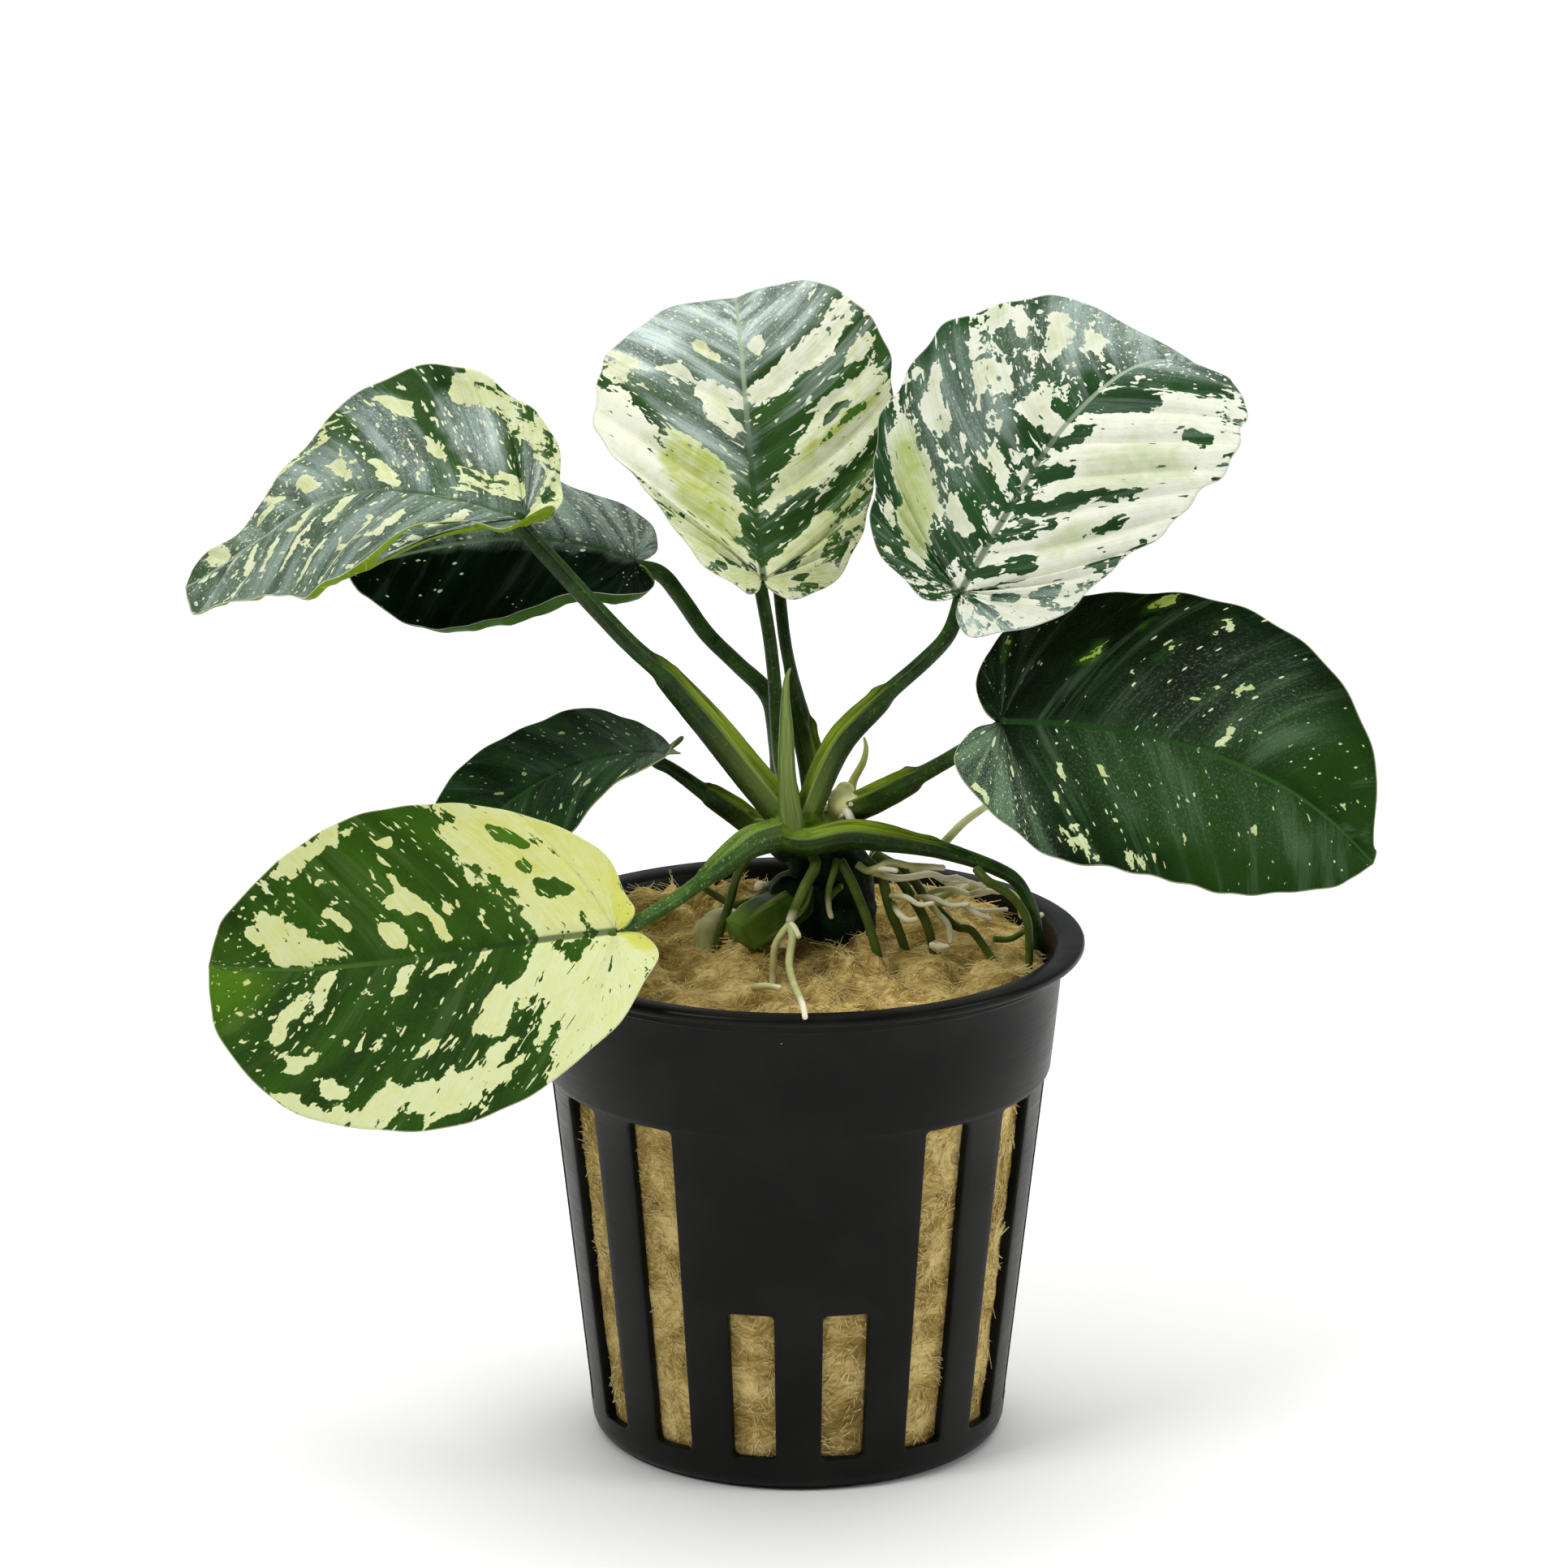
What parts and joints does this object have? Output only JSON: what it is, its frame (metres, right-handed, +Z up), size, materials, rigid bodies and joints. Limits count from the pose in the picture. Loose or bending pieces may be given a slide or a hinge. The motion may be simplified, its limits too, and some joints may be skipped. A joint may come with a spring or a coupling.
{
  "type": "potted aquarium plant",
  "caption": "Variegated broad-leaved water plant with a creeping rhizome and loose roots, growing on mineral wool in a small slotted net pot.",
  "frame": {"origin": "centre of the pot's flat base, on the surface that the pot stands on", "axes": "+Z up along the pot's axis; -Y is the front, the side that the picture shows; +X to the right seen from the front"},
  "size_m": [0.1127, 0.0592, 0.1087],
  "materials": {
    "pot_black": "satin injection-moulded polypropylene, near black",
    "wool_tan": "tan mineral wool fibres",
    "blade_variegated": "leathery leaf, dark green marbled with cream",
    "blade_dark": "leathery leaf, glossy dark green with fine flecks",
    "stalk_green": "smooth green stalk with a pale grooved sheath",
    "rhizome_dark": "dark green ringed rhizome",
    "root_green": "smooth olive-green root",
    "root_cream": "smooth cream-white young root"
  },
  "bodies": {
    "root": {"net_pot": "pot_black", "rockwool_plug": "wool_tan", "leaf_arched": "blade_variegated", "leaf_top": "blade_variegated", "leaf_bright": "blade_variegated", "leaf_front": "blade_variegated", "leaf_back_dark": "blade_dark", "leaf_behind_top": "blade_dark", "leaf_right_dark": "blade_dark", "leaf_left_small": "blade_dark", "stalk_arched": "stalk_green", "stalk_back_dark": "stalk_green", "stalk_top": "stalk_green", "stalk_behind_top": "stalk_green", "stalk_bright": "stalk_green", "stalk_right_dark": "stalk_green", "stalk_left_small": "stalk_green", "stalk_front": "stalk_green", "young_leaf": "stalk_green", "bent_stalk": "stalk_green", "scale_leaf": "root_cream", "rhizome": "rhizome_dark", "rhizome_stub": "rhizome_dark", "root_front": "root_green", "root_front_left": "root_cream", "root_front_long": "root_cream", "root_loose": "root_cream", "root_left": "root_green", "root_left_curly": "root_green", "root_swollen": "root_cream", "root_hanging": "root_green", "root_right_1": "root_green", "root_right_2": "root_green", "root_right_3": "root_green", "root_right_4": "root_green", "root_pale_1": "root_cream", "root_pale_2": "root_cream", "root_aerial": "root_cream", "root_from_bent_stalk": "root_green"}
  },
  "joints": []
}
